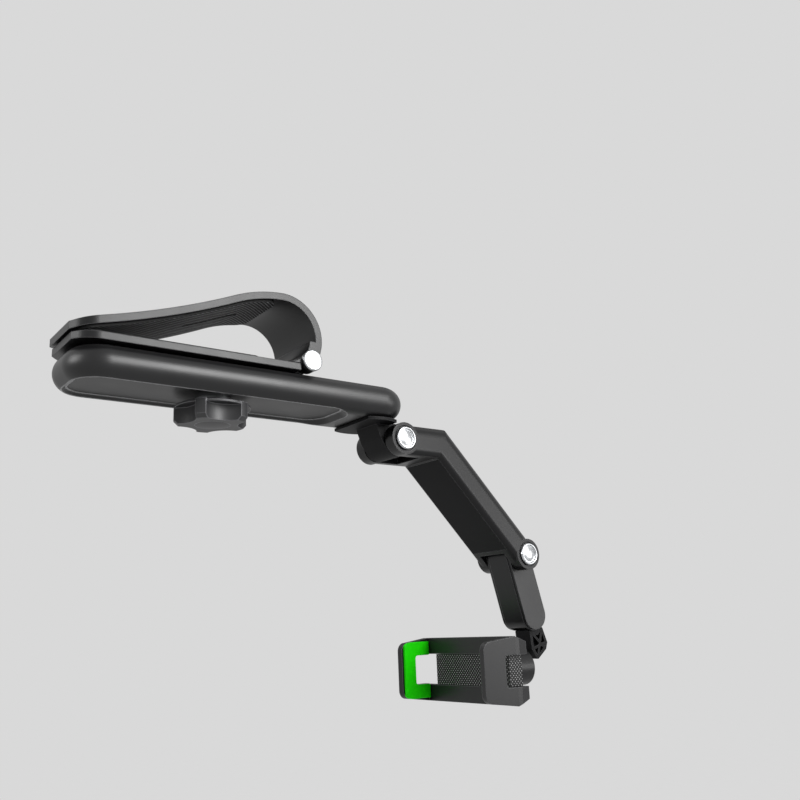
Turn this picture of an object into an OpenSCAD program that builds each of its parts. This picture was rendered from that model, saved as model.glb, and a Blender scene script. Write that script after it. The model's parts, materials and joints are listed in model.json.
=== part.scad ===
// Sun visor phone holder: a sprung clip, a lozenge body, a folding arm and a phone clamp on a ball.
// Millimetres. The origin is where the knob's axis meets the top of the lower clip pad.
// +X runs along the body towards the arm, +Y along the hinge pins to the rear, +Z up.

/* [Clip] */
// Width of both clip jaws
jaw_w = 36; // [30:0.5:37]
// Thickness of the curved upper jaw
jaw_t = 3; // [2.4:0.1:3.6]
// Thickness of the flat lower jaw
plate_t = 2.8; // [2.4:0.1:3.6]
// Thickness of the rubber pads on both jaws
pad_t = 0.8; // [0.6:0.1:1.2]
// Reach of the jaws from the knob's axis to the nose
jaw_reach = 61.6; // [52:0.2:64]
// Half width of the flat nose
nose_half = 12; // [8:0.5:13]
// Distance from the knob's axis to the hinge pin
clip_pin_x = 35.7; // [35:0.1:37]
// Radius of the hinge pin
clip_pin_r = 2; // [1.6:0.1:2.3]
// Outer radius of the upper jaw's loop
loop_r = 18.2; // [17.6:0.1:18.8]

/* [Body] */
// Length of the lozenge body
body_l = 149.5; // [148:0.5:165]
// Width of the lozenge body
body_w = 38; // [36:0.5:44]
// Height of the lozenge body
body_h = 14.4; // [13.6:0.1:17]
// Distance from the body's left end to the knob's axis
knob_inset = 61.5; // [60:0.5:66]
// Radius of the body's corners, seen from above
body_corner = 14; // [12:0.5:16]
// Distance from the body's right end to the turntable's axis
turn_inset = 13.5; // [13:0.5:15]
// Width of the rim round the recess in the underside
rim_w = 3.5; // [3:0.1:4.5]
// Distance from the knob's axis to the recess's right end
recess_right = 58.5; // [50:0.5:58.5]

/* [Knob] */
// Radius of the knob over its lobes
knob_r = 15.4; // [14.6:0.1:16.4]
// Height of the knob's grip
knob_h = 7.8; // [7.6:0.1:12]
// Number of lobes
knob_lobes = 5; // [5:1:6]
// Radius of the clamping screw
screw_r = 2.5; // [2:0.1:2.6]

/* [Turntable] */
// Radius of the turntable's flange
flange_r = 15.8; // [13:0.1:16.5]
// Thickness of the turntable's flange
flange_t = 1.3; // [1.1:0.1:1.4]
// Distance from the turntable's axis to the first elbow
elbow_offset = 12; // [11.5:0.1:13]

/* [Arm] */
// Thickness of the arm and the link
arm_t = 14.4; // [13:0.2:15]
// Width of the arm
arm_w = 28.8; // [27.6:0.2:32]
// Length of the arm's level part, elbow to bend
arm_level = 22.5; // [20:0.5:28]
// Length of the arm's sloping part, bend to second elbow
arm_slope = 70; // [60:1:85]
// Slope of the arm below level
arm_angle = 46; // [35:1:50]
// Radius of the elbow pins
pin_r = 2.5; // [2:0.1:2.8]
// Radius of the chrome pin caps
cap_r = 5.25; // [4.8:0.05:5.5]

/* [Link] */
// Width of the link between the arm's ears
tongue_w = 16; // [15:0.2:17]
// Length of the link between its two pivots
link_l = 29.5; // [29:0.5:36]
// Slope of the link below level
link_angle = 74.5; // [68:0.5:80]
// Radius of the hidden wrist pin
wrist_r = 2; // [1.6:0.1:2.3]
// Width of the ribbed bracket
bracket_w = 10; // [9:0.2:10.4]
// Thickness of the bracket's crossing ribs
rib_t = 1.2; // [0.9:0.1:1.6]

/* [Ball] */
// Radius of the ball
ball_r = 5; // [4.6:0.1:5]
// Outer radius of the ring nut
nut_r = 8.2; // [8.2:0.1:9]
// Radius of the ball stud's neck
neck_r = 1.9; // [1.6:0.1:1.9]
// Angle of the stud above the ring nut's axis
stud_angle = 36; // [32:1:36]

/* [Phone clamp] */
// Height of the clamp at the root of its jaws
clamp_h = 30; // [29:0.2:33]
// Height of the clamp at the tips of its jaws
clamp_tip_h = 25.4; // [22:0.2:28]
// Reach of the jaws in front of the phone's back
clamp_reach = 17.8; // [16:0.1:22]
// Thickness of the clamp's jaws
clamp_jaw_t = 3; // [2.5:0.1:3.4]
// Opening between the jaws when the clamp is shut
clamp_open = 61; // [58:1:70]
// Travel of the sliding jaw
clamp_travel = 20; // [14:1:20]
// Inward lean of the jaws
jaw_lean = 5.4; // [3:0.1:6]
// Thickness of the jaws' rubber pads
grip_t = 1.5; // [1:0.1:1.8]

/* [Hidden] */
$fn = 72;
// Clearances: a running fit, a seat between fixed pieces, and a gap between moving faces
fit = 0.05;
seat = 0.05;
gap = 0.3;
// Small amount by which a cutter runs past the face it opens
past = 0.5;

// Heights of the clip and body, downwards from the lower pad's top
plate_top = -pad_t;
plate_bottom = plate_top - plate_t;
body_top = plate_bottom - gap;
body_bottom = body_top - body_h;
body_mid = (body_top + body_bottom) / 2;
body_round = body_h / 2;
end_flat = body_w / 2 - body_round;
body_left = -knob_inset;
body_right = body_l - knob_inset;
corner_y = body_w / 2 - body_corner;
corner_left = body_left + body_corner;
turn_x = body_right - turn_inset;

// Clip hinge: the pin, the ears round it and the knuckle between them
clip_pin_z = 0.8;
ear_r = clip_pin_z - plate_bottom;
knuckle_r = ear_r - 0.9;
ear_w = 4.8;
knuckle_half = jaw_w / 2 - ear_w - gap;
spring_half = 6.4;
wire = 0.5;
leg_l = 11.5;
leg_y = 4.75;
hub_gap = gap;

// Upper jaw: a long sweep, a shoulder and a loop, all tangent
loop_c = [23, 10.4];
shoulder_r = 60;
sweep_r = 320;
shoulder_dir = 93;
sweep_dir = 114;
shoulder_c = loop_c - (shoulder_r - loop_r) * [cos(shoulder_dir), sin(shoulder_dir)];
sweep_c = shoulder_c + (shoulder_r + sweep_r) * [cos(sweep_dir), sin(sweep_dir)];
sweep_end = 280;
toe_x = 25;
toe_gap_z = plate_top + gap;
toe_r = 10.3;
upper_pad_t = 1;
pad_half = jaw_w / 2 - 1.5;
nose_chamfer = 4.6;

// Body inside
top_wall = 2.2;
cavity_top = body_top - top_wall;
boss_r = 8;
boss_bottom = plate_bottom - 4.6;
collar_w = 2.4;
collar_bottom = boss_bottom - gap;
cover_t = 1.8;
dish_depth = 2.4;
floor_z = body_bottom + dish_depth;
cover_top = floor_z + cover_t;
recess_corner = body_corner - rim_w;
recess_right_c = recess_right - recess_corner;
rim_z = body_bottom + 1;
cavity_corner = recess_corner - 2.1;

// Turntable
flange_top = body_bottom - 0.15;
flange_bottom = flange_top - flange_t;
flange_back = 7.6;
flange_front = 7.9;
hub_r = 5;
shelf_top = body_bottom + 5.8;
hub_top = shelf_top + fit;
cap_screw_r = 1.5;

// Elbows and wrist
arm_r = arm_t / 2;
elbow_1 = [turn_x + elbow_offset, body_bottom - arm_r - 1.1];
bend = elbow_1 + [arm_level, 0];
elbow_2 = bend + arm_slope * [cos(arm_angle), -sin(arm_angle)];
wrist = elbow_2 + link_l * [cos(link_angle), -sin(link_angle)];
tongue_half = tongue_w / 2;
washer_t = 0.6;
fork_half = tongue_half + washer_t + 2 * fit;
fork_depth = arm_r + 0.5;
upper_fork_depth = 12;
cap_seat_r = cap_r + 0.6;
cap_seat_d = 0.8;
cover_half = arm_w / 2 - 2.4;
side_cover_t = 1.6;
core_half = tongue_half - side_cover_t;
slot_half = bracket_w / 2 + gap;
lug_r = 5.6;

// Ball and clamp
ball = wrist + [-7.5, -24.1];
liner_t = 0.75;
liner_r = ball_r + fit + liner_t;
seat_r = liner_r + fit;
spigot_r = seat_r + 0.85;
spigot_end = 0.8;
lip_r = 4.9;
lip_x = 2.6;
nut_end = 4.9;
nut_back = -6;
stud_dir = [cos(stud_angle), sin(stud_angle)];
stud_side = [sin(stud_angle), -cos(stud_angle)];
stud_clear = 10.2;
stud_end = 16.5;

rail_x = ball[0] - 20.5;
rail_t = 3.5;
rail_gap = 7.3;
clamp_near = -22;
clamp_inner = clamp_near + clamp_jaw_t;
clamp_far = clamp_inner + clamp_open;
back_x = rail_x + rail_t + gap;
back_t = 4;
clamp_rear = back_x + back_t;
rear_half = clamp_h / 2 - 2.6;
tongue_end = clamp_far - 6.9;
tongue_z = rail_gap - 0.15;
mesh_t = 3;
housing_end = clamp_inner + 36;
near_window = 6.1;
far_window = 9.6;
window_half = 6.9;
groove_z = 10;
groove_neck = 1;
groove_head = 2;
groove_neck_d = 1.1;
groove_head_d = 2;
shoe_l = 4;
shoe_start = clamp_inner + 0.6;
groove_end = shoe_start + shoe_l + clamp_travel + 9.2;
spring_wire = 0.5;

// Colours as the photograph shows them
satin_black = [0.16, 0.16, 0.17];
soft_black = [0.1, 0.1, 0.11];
pad_black = [0.07, 0.07, 0.07];
chrome = [0.86, 0.87, 0.88];
steel = [0.6, 0.61, 0.63];
grip_green = [0.12, 0.76, 0.0];

// Placing helpers

// A side view, drawn in X and Z, extruded from y0 to y1
module along_y(y0, y1) {
    translate([0, y1, 0]) rotate([90, 0, 0]) linear_extrude(y1 - y0) children();
}

// A cross-section, drawn in Y and Z, extruded from x0 to x1
module along_x(x0, x1) {
    translate([x0, 0, 0]) rotate([90, 0, 90]) linear_extrude(x1 - x0) children();
}

// A plan view, drawn in X and Y, extruded from z0 to z1
module along_z(z0, z1) {
    translate([0, 0, z0]) linear_extrude(z1 - z0) children();
}

// An upright cylinder or cone from z0 to z1
module post(x, r0, r1, z0, z1) {
    translate([x, 0, z0]) cylinder(h = z1 - z0, r1 = r0, r2 = r1);
}

// A cylinder along Y through a point of the side view
module rod_y(p, r, y0, y1) {
    translate([p[0], y0, p[1]]) rotate([-90, 0, 0]) cylinder(h = y1 - y0, r = r);
}

// A frame at a point of the side view, with its X axis sloping down
module sloping(p, angle) {
    translate([p[0], 0, p[1]]) rotate([0, angle, 0]) children();
}

// A revolved profile, drawn as radius and height, whose axis is X
module round_x(p) {
    translate([p[0], 0, p[1]]) rotate([0, 90, 0]) rotate_extrude() children();
}

// The same piece at the front and at the rear
module both_sides() {
    children();
    mirror([0, 1, 0]) children();
}

// Clip

// The part of a ring between two directions, in degrees from +X
module ring_band(c, r_in, r_out, a0, a1) {
    steps = 8;
    reach = 1.2 * r_out;
    translate(c) intersection() {
        difference() {
            circle(r_out, $fn = 180);
            circle(r_in, $fn = 180);
        }
        polygon(concat([[0, 0]],
            [for (i = [0:steps]) reach * [cos(a0 + (a1 - a0) * i / steps), sin(a0 + (a1 - a0) * i / steps)]]));
    }
}

// Side view of a layer under the upper jaw's sweep and shoulder, from depth d0 to d1
module upper_layer(d0, d1) {
    ring_band(shoulder_c, shoulder_r - d1, shoulder_r - d0, shoulder_dir, sweep_dir);
    ring_band(sweep_c, sweep_r + d0, sweep_r + d1, sweep_end, sweep_dir + 180.02);
}

// Plan of a jaw from its chamfered nose, through a rounded shoulder, to a square back
module jaw_plan(nose_x, back_x, half) {
    r = 9;
    drop = half - nose_half;
    slant = norm([nose_chamfer, drop]);
    lead = r * slant / drop - r * nose_chamfer / drop;
    x1 = nose_x + nose_chamfer;
    for (s = [-1, 1]) translate([x1 + lead, s * (half - r)]) circle(r);
    polygon([[nose_x, -nose_half], [x1 - lead * nose_chamfer / slant, lead * drop / slant - half], [x1 + lead, -half],
             [back_x, -half], [back_x, half],
             [x1 + lead, half], [x1 - lead * nose_chamfer / slant, half - lead * drop / slant], [nose_x, nose_half]]);
}

// Plan rectangle with round corners
module round_plan(x0, x1, half, r) {
    translate([x0 + r, -half]) square([x1 - x0 - 2 * r, 2 * half]);
    translate([x0, -half + r]) square([x1 - x0, 2 * half - 2 * r]);
    for (x = [x0 + r, x1 - r], y = [-half + r, half - r]) translate([x, y]) circle(r);
}

// Plan of a slot with round ends, between two centres
module slot_plan(x0, x1, r) {
    translate([x0, -r]) square([x1 - x0, 2 * r]);
    translate([x0, 0]) circle(r);
    translate([x1, 0]) circle(r);
}

module lower_jaw() {
    nut_af = 8;
    nut_seat_r = nut_af / 2 / cos(30) + 0.1;
    color(satin_black) difference() {
        union() {
            along_z(plate_bottom, plate_top) jaw_plan(1 - jaw_reach, clip_pin_x - ear_r - gap, jaw_w / 2);
            along_z(plate_bottom, plate_top) translate([0, -knuckle_half]) square([clip_pin_x - 1, 2 * knuckle_half]);
            rod_y([clip_pin_x, clip_pin_z], knuckle_r, -knuckle_half, knuckle_half);
            post(0, boss_r, boss_r, boss_bottom, plate_bottom + past);
        }
        rod_y([clip_pin_x, clip_pin_z], clip_pin_r + fit, -jaw_w, jaw_w);
        // Room for the spring between the two knuckles
        translate([clip_pin_x - knuckle_r - 0.4, -spring_half, plate_top])
            cube([3 * knuckle_r, 2 * spring_half, 3 * knuckle_r]);
        rod_y([clip_pin_x, clip_pin_z], knuckle_r + 0.2, -spring_half, spring_half);
        translate([clip_pin_x - leg_l - 0.6, -leg_y - wire - 0.2, plate_top - 2 * wire - 0.1])
            cube([leg_l, 2 * wire + 0.4, 3]);
        // Seat of the captive nut, open upwards, and the screw's way through
        translate([0, 0, plate_top - 4]) cylinder(h = 4 + past, r = nut_seat_r, $fn = 6);
        post(0, screw_r + 0.25, screw_r + 0.25, boss_bottom - past, plate_top);
    }
}

module lower_jaw_pad() {
    color(pad_black) along_z(plate_top, 0) round_plan(6 - jaw_reach, 13.2, pad_half, 3);
}

module upper_jaw() {
    wide = jaw_w / 2;
    color(satin_black) difference() {
        union() {
            intersection() {
                along_y(-wide, wide) {
                    upper_layer(0, jaw_t);
                    ring_band(loop_c, loop_r - jaw_t, loop_r, -34, shoulder_dir + 0.05);
                }
                along_z(-20, 50) jaw_plan(-jaw_reach, 60, wide);
            }
            along_y(-wide, wide) difference() {
                intersection() {
                    translate(loop_c) circle(loop_r);
                    translate([toe_x, toe_gap_z]) square([20, 9.6 - toe_gap_z]);
                }
                translate([toe_x, toe_gap_z + toe_r]) circle(toe_r);
            }
            rod_y([clip_pin_x, clip_pin_z], ear_r, -wide, wide);
        }
        rod_y([clip_pin_x, clip_pin_z], clip_pin_r + fit, -jaw_w, jaw_w);
        // Room for the lower jaw's knuckles between the two ears
        rod_y([clip_pin_x, clip_pin_z], knuckle_r + hub_gap, -knuckle_half - gap, knuckle_half + gap);
        translate([toe_x - 5, -knuckle_half - gap, plate_bottom - 2])
            cube([30, 2 * (knuckle_half + gap), toe_gap_z - plate_bottom + 2]);
        // Room for the spring and its legs
        translate([toe_x - 5, -spring_half, plate_bottom]) cube([15, 2 * spring_half, 1.6 - plate_bottom]);
        sloping([clip_pin_x, clip_pin_z], -60) translate([0, -spring_half, -1]) cube([5.6, 2 * spring_half, 2]);
    }
}

module upper_jaw_pad() {
    color(pad_black) intersection() {
        along_y(-pad_half, pad_half) upper_layer(jaw_t, jaw_t + upper_pad_t);
        along_z(-20, 50) difference() {
            round_plan(3 - jaw_reach, loop_c[0] - 1.8, pad_half, 5);
            slot_plan(-13, 9, 1);
        }
    }
}

module clip_pin() {
    color(steel) rod_y([clip_pin_x, clip_pin_z], clip_pin_r, -jaw_w / 2 + 1, jaw_w / 2 - 1);
}

// A domed cap with a rounded edge, drawn as radius and height above its seat
module cap_profile(r, h, edge, dish) {
    difference() {
        union() {
            square([r, h - edge]);
            square([r - edge, h]);
            translate([r - edge, h - edge]) circle(edge);
        }
        translate([-2 * r, -past]) square([2 * r, h + 2 * past]);
        translate([r * 0.68, h + 0.25]) circle(dish);
    }
}

// A cap on a pin's end, standing forwards from face y
module pin_cap(p, y, r, h, dish, spigot_r, spigot_l) {
    translate([p[0], y, p[1]]) rotate([90, 0, 0]) {
        rotate_extrude() cap_profile(r, h, 0.6, dish);
        if (spigot_l > 0) translate([0, 0, -spigot_l]) cylinder(h = spigot_l + 0.2, r = spigot_r);
    }
}

module clip_cap_front() {
    color(chrome) pin_cap([clip_pin_x, clip_pin_z], -jaw_w / 2, 4.6, 2.2, 0.45, clip_pin_r, 0.9);
}

module clip_cap_rear() {
    mirror([0, 1, 0]) clip_cap_front();
}

// Close-wound turns of wire round the pin, and a leg under each jaw
module clip_spring() {
    turn_r = clip_pin_r + 0.4 + wire;
    pitch = 1.9 * wire;
    turns = floor(2 * leg_y / pitch) + 1;
    color(steel) {
        for (i = [0:turns - 1])
            translate([clip_pin_x, i * pitch - leg_y, clip_pin_z])
                rotate([90, 0, 0]) rotate_extrude($fn = 36) translate([turn_r, 0]) circle(wire, $fn = 14);
        translate([clip_pin_x - leg_l, -leg_y, plate_top - wire]) rotate([0, 90, 0])
            cylinder(h = leg_l - 1.8, r = wire, $fn = 14);
        sloping([clip_pin_x, clip_pin_z], -60) translate([2.4, leg_y, 0.3]) rotate([0, 90, 0])
            cylinder(h = 2.9, r = wire, $fn = 14);
    }
}

module pivot_nut() {
    nut_r6 = 8 / 2 / cos(30);
    color(steel) difference() {
        translate([0, 0, plate_top - 3.95]) cylinder(h = 3.5, r = nut_r6, $fn = 6);
        post(0, screw_r + fit, screw_r + fit, plate_top - 5, plate_top);
    }
}

// Body

// The lozenge: a slab with round corners, whose rim is fully rounded
module lozenge() {
    along_x(corner_left, body_right - body_corner) {
        translate([-end_flat, body_bottom]) square([2 * end_flat, body_h]);
        for (y = [-end_flat, end_flat]) translate([y, body_mid]) circle(body_round);
    }
    along_y(-corner_y, corner_y) {
        translate([body_left + body_round, body_bottom]) square([body_l - body_h, body_h]);
        for (x = [body_left + body_round, body_right - body_round]) translate([x, body_mid]) circle(body_round);
    }
    for (x = [corner_left, body_right - body_corner], y = [-corner_y, corner_y]) translate([x, y, 0]) rotate_extrude()
        intersection() {
            union() {
                translate([0, body_bottom]) square([body_corner - body_round, body_h]);
                translate([body_corner - body_round, body_mid]) circle(body_round);
            }
            translate([0, body_bottom - 1]) square([body_corner + 1, body_h + 2]);
        }
}

// A dish with round corners, whose wall slopes inwards from corner radius r0 at z0 to r1 at z1
module sloping_dish(x0, x1, y1, r0, r1, z0, z1) {
    along_x(x0, x1) polygon([[-y1 - r0, z0], [y1 + r0, z0], [y1 + r1, z1], [-y1 - r1, z1]]);
    along_y(-y1, y1) polygon([[x0 - r0, z0], [x1 + r0, z0], [x1 + r1, z1], [x0 - r1, z1]]);
    for (x = [x0, x1], y = [-y1, y1]) translate([0, y, 0]) post(x, r0, r1, z0, z1);
}

module body_shell() {
    below = rim_z - body_bottom + past;
    color(satin_black) difference() {
        lozenge();
        sloping_dish(corner_left, recess_right_c, corner_y, recess_corner + below, recess_corner - floor_z + rim_z,
                     body_bottom - past, floor_z);
        difference() {
            union() {
                along_z(floor_z - 0.1, cavity_top)
                    round_plan(corner_left - cavity_corner, recess_right_c + cavity_corner, corner_y + cavity_corner, cavity_corner);
                along_z(shelf_top, cavity_top) slot_plan(corner_left, turn_x, 10);
            }
            post(0, boss_r + fit + collar_w, boss_r + fit + collar_w, collar_bottom, body_top);
        }
        post(0, boss_r + fit, boss_r + fit, collar_bottom - past, body_top + past);
        // Bore that the turntable's hub turns in
        post(turn_x, hub_r + fit, hub_r + fit, body_bottom - past, shelf_top + past);
    }
}

module base_cover() {
    bearing_r = 6;
    grow = cavity_corner - seat;
    color(soft_black) difference() {
        union() {
            along_z(floor_z, cover_top) round_plan(corner_left - grow, recess_right_c + grow, corner_y + grow, grow);
            post(0, bearing_r, bearing_r, cover_top, boss_bottom - gap);
        }
        post(0, screw_r + 0.15, screw_r + 0.15, body_bottom, boss_bottom);
    }
}

// Knob

knob_top = body_bottom - 0.6;
knob_bottom = knob_top - knob_h;
collar_top = floor_z - 1;
knob_cap_r = 7;

module knob() {
    scallop_r = 9;
    scallop_in = knob_r - 5.4;
    waist_r = 8.2;
    phase = 47.8;
    disc_t = 1.2;
    color(soft_black) difference() {
        union() {
            intersection() {
                along_z(knob_bottom, knob_top - 0.1) difference() {
                    circle(knob_r);
                    for (i = [0:knob_lobes - 1]) rotate(phase + i * 360 / knob_lobes)
                        translate([scallop_in + scallop_r, 0]) circle(scallop_r);
                }
                // Bevelled bottom edge
                post(0, knob_r - 1.6, knob_r + knob_h, knob_bottom, knob_bottom + knob_h + 1.6);
            }
            // Round disc over the lobes
            post(0, knob_r - 0.3, knob_r - 0.3, knob_top - disc_t, knob_top - 0.4);
            post(0, knob_r - 0.4, knob_r - 1.2, knob_top - 0.5, knob_top);
            post(0, waist_r, waist_r - 0.7, knob_top - past, collar_top);
        }
        // Seat of the screw's head and of the cap below it
        post(0, knob_cap_r + 0.1, knob_cap_r + 0.1, knob_bottom - past, knob_bottom + 0.8);
        translate([0, 0, knob_bottom]) cylinder(h = 4.6, r = 4.72, $fn = 6);
        post(0, screw_r + seat, screw_r + seat, knob_bottom, collar_top + past);
    }
}

module knob_cap() {
    rise = 0.6;
    dome_r = 40;
    color(soft_black) union() {
        post(0, knob_cap_r, knob_cap_r, knob_bottom, knob_bottom + 0.75);
        intersection() {
            translate([0, 0, knob_bottom - rise + dome_r]) sphere(dome_r, $fn = 180);
            post(0, knob_cap_r - 0.4, knob_cap_r, knob_bottom - 1, knob_bottom + 0.2);
        }
    }
}

module knob_screw() {
    color(steel) union() {
        translate([0, 0, knob_bottom + 0.85]) cylinder(h = 3.7, r = 4.62, $fn = 6);
        post(0, screw_r, screw_r, knob_bottom + 1, plate_top - 0.3);
    }
}

module knob_washer() {
    color(steel) difference() {
        post(0, 7.4, 7.4, collar_top + fit, floor_z - fit);
        post(0, screw_r + 0.2, screw_r + 0.2, collar_top - past, floor_z + past);
    }
}

// Turntable

module turntable_knuckle() {
    left = -11.7;
    color(satin_black) difference() {
        union() {
            along_z(flange_bottom, flange_top) translate([turn_x, 0]) intersection() {
                circle(flange_r);
                translate([-flange_back, -flange_r]) square([flange_back + flange_front, 2 * flange_r]);
            }
            post(turn_x, hub_r, hub_r, flange_top - past, hub_top);
            rod_y(elbow_1, arm_r, -tongue_half, tongue_half);
            along_y(-tongue_half, tongue_half) translate(elbow_1)
                polygon([[left, arm_r + 0.5], [left + 2.8, 0.4], [-5.6, -4.5], [0, 0], [7, 1], [2.5, arm_r + 0.5]]);
        }
        rod_y(elbow_1, pin_r + fit, -arm_w, arm_w);
        post(turn_x, cap_screw_r + seat, cap_screw_r + seat, flange_top - 0.6, hub_top + past);
    }
}

module turntable_washer() {
    color(steel) difference() {
        post(turn_x, 7.6, 7.6, hub_top, hub_top + 0.8);
        post(turn_x, cap_screw_r + seat, cap_screw_r + seat, hub_top - past, hub_top + 2);
    }
}

module turntable_screw() {
    color(steel) union() {
        post(turn_x, cap_screw_r, cap_screw_r, flange_top - 0.4, hub_top + 1);
        post(turn_x, 3, 2.6, hub_top + 0.8, hub_top + 2.4);
    }
}

// Elbows

module elbow_pin(p) {
    color(steel) rod_y(p, pin_r, cap_seat_d - arm_w / 2, arm_w / 2 - cap_seat_d);
}

module elbow_cap(p) {
    color(chrome) pin_cap(p, cap_seat_d - arm_w / 2, cap_r, 2.1, 0.5, 0, 0);
}

module elbow_washers(p) {
    color(pad_black) both_sides() difference() {
        rod_y(p, arm_r - 0.7, tongue_half + fit, tongue_half + fit + washer_t);
        rod_y(p, pin_r + fit, tongue_half, tongue_half + 2);
    }
}

// Arm

// Cross-section with large round corners at the top and small ones below
module arm_section() {
    top_r = 5.6;
    low_r = 3;
    half = arm_w / 2;
    translate([-half + top_r, -arm_r]) square([2 * (half - top_r), arm_t]);
    translate([-half, -arm_r + low_r]) square([2 * half, arm_t - low_r - top_r]);
    translate([-half + low_r, -arm_r]) square([2 * (half - low_r), low_r]);
    for (s = [-1, 1]) {
        translate([s * (half - top_r), arm_r - top_r]) circle(top_r);
        translate([s * (half - low_r), -arm_r + low_r]) circle(low_r);
    }
}

module arm_shell() {
    half = arm_w / 2;
    reach = arm_level + arm_slope;
    overrun = arm_r;
    ear_grow = 0.1;
    color(satin_black) difference() {
        union() {
            intersection() {
                sloping(elbow_1, 0) along_x(0, arm_level + overrun) arm_section();
                along_y(-arm_w, arm_w) translate(bend) rotate(-arm_angle / 2)
                    translate([-reach, -reach]) square([reach, 2 * reach]);
            }
            intersection() {
                sloping(bend, arm_angle) along_x(-overrun, arm_slope) arm_section();
                along_y(-arm_w, arm_w) translate(bend) rotate(-arm_angle / 2)
                    translate([-0.02, -reach]) square([reach, 2 * reach]);
            }
            for (p = [elbow_1, elbow_2]) rod_y(p, arm_r + ear_grow, -half, half);
        }
        // The bend's outer corner is broken
        along_y(-arm_w, arm_w) translate(bend) rotate(-arm_angle / 2) translate([-reach, arm_r - 0.05]) square([2 * reach, 9]);
        // Forks for the knuckle and the link
        translate([elbow_1[0] - arm_t, -fork_half, elbow_1[1] - arm_t]) cube([arm_t + upper_fork_depth, 2 * fork_half, 2 * arm_t]);
        sloping(elbow_2, arm_angle) translate([-fork_depth, -fork_half, -arm_t]) cube([arm_t + fork_depth, 2 * fork_half, 2 * arm_t]);
        for (p = [elbow_1, elbow_2]) {
            rod_y(p, pin_r + fit, -arm_w, arm_w);
            both_sides() rod_y(p, cap_seat_r, half - cap_seat_d, half + past);
        }
        // Seat of the cover, and the hollow behind it
        sloping(bend, arm_angle) {
            translate([3.85, -cover_half - 0.15, -arm_r - past]) cube([arm_slope - 13.7, 2 * cover_half + 0.3, 1.95 + past]);
            translate([6, -8.6, -arm_r]) cube([arm_slope - 18, 17.2, 11.6]);
        }
    }
}

module arm_cover() {
    color(soft_black) sloping(bend, arm_angle)
        translate([4, -cover_half, -arm_r]) cube([arm_slope - 14, 2 * cover_half, 1.8]);
}

// Link

// The link's side view in its own sloping frame, drawn in X and Z
module pill(r) {
    translate([0, -r]) square([link_l, 2 * r]);
    circle(r);
    translate([link_l, 0]) circle(r);
}

module link_core() {
    mouth = 50;
    color(satin_black) sloping(elbow_2, link_angle) difference() {
        along_y(-core_half, core_half) pill(arm_r);
        rod_y([0, 0], pin_r + fit, -tongue_w, tongue_w);
        rod_y([link_l, 0], wrist_r + fit, -tongue_w, tongue_w);
        // Socket of the bracket's lug, open at the link's end
        rod_y([link_l, 0], lug_r + gap, -slot_half, slot_half);
        along_y(-slot_half, slot_half) translate([link_l, 0])
            polygon([[0, 0], 20 * [cos(mouth), sin(mouth)], 20 * [cos(mouth), -sin(mouth)]]);
    }
}

module link_cover_front() {
    color(satin_black) sloping(elbow_2, link_angle) difference() {
        along_y(-tongue_half, -core_half) pill(arm_r - 0.35);
        rod_y([0, 0], pin_r + fit, -tongue_w, tongue_w);
    }
}

module link_cover_rear() {
    mirror([0, 1, 0]) link_cover_front();
}

module wrist_pin() {
    color(steel) rod_y(wrist, wrist_r, -core_half + 0.1, core_half - 0.1);
}

// Ribbed bracket

// A bar with round ends between two points of the side view
module bar(p, q, w) {
    d = q - p;
    translate(p) rotate(atan2(d[1], d[0])) translate([0, -w / 2]) square([norm(d), w]);
    for (c = [p, q]) translate(c) circle(w / 2, $fn = 12);
}

module ribbed_bracket() {
    frame_t = 1.4;
    web_half = 1.1;
    foot = ball + (stud_clear + 0.6) * stud_dir - wrist;
    corners = [[-0.9, -7.8], [6.6, -6.6], [9.1, -13.2], [8.1, -15.9], foot + 2.7 * stud_side, foot - 2.4 * stud_side];
    count = len(corners);
    ribs = [[0, 3], [1, 4], [2, 5]];
    color(soft_black) difference() {
        union() {
            along_y(-bracket_w / 2, bracket_w / 2) translate(wrist) {
                for (i = [0:count - 1]) bar(corners[i], corners[(i + 1) % count], frame_t);
                for (r = ribs) bar(corners[r[0]], corners[r[1]], rib_t);
                bar([0, 0], (corners[0] + corners[1]) / 2, 4.8);
                circle(lug_r);
            }
            along_y(-web_half, web_half) translate(wrist) polygon(corners);
            sloping(ball, -stud_angle) translate([stud_clear, 0, 0]) rotate([0, 90, 0])
                cylinder(h = stud_end - stud_clear + 1, r = neck_r + 1.1);
        }
        rod_y(wrist, wrist_r + fit, -bracket_w, bracket_w);
        sloping(ball, -stud_angle) rotate([0, 90, 0]) cylinder(h = stud_end + 0.2, r = neck_r + seat);
    }
}

// Ball joint

module ball_stud() {
    color(chrome) union() {
        translate([ball[0], 0, ball[1]]) sphere(ball_r);
        sloping(ball, -stud_angle) rotate([0, 90, 0]) cylinder(h = stud_end, r = neck_r);
    }
}

module ball_liner() {
    opening = 64;
    cone_l = 8;
    color(pad_black) translate([ball[0], 0, ball[1]]) difference() {
        sphere(liner_r);
        sphere(ball_r + fit);
        rotate([0, 90, 0]) cylinder(h = cone_l, r1 = 0, r2 = cone_l * tan(opening));
        for (a = [45, 135]) rotate([a, 0, 0]) translate([0, -0.4, -cone_l]) cube([cone_l, 0.8, 2 * cone_l]);
    }
}

module ring_nut() {
    color(satin_black) difference() {
        round_x(ball) {
            translate([0, nut_back]) square([nut_r, nut_end - nut_back - 0.8]);
            square([nut_r - 0.8, nut_end]);
            translate([nut_r - 0.8, nut_end - 0.8]) circle(0.8);
        }
        round_x(ball) translate([0, nut_back - past]) square([spigot_r + fit, 1 - nut_back + past]);
        translate([ball[0], 0, ball[1]]) sphere(seat_r);
        round_x(ball) polygon([[0, 0], [lip_r, 0], [lip_r, lip_x + 0.2], [lip_r + 2, nut_end], [lip_r + 2, nut_end + past], [0, nut_end + past]]);
    }
}

// Phone clamp

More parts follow.
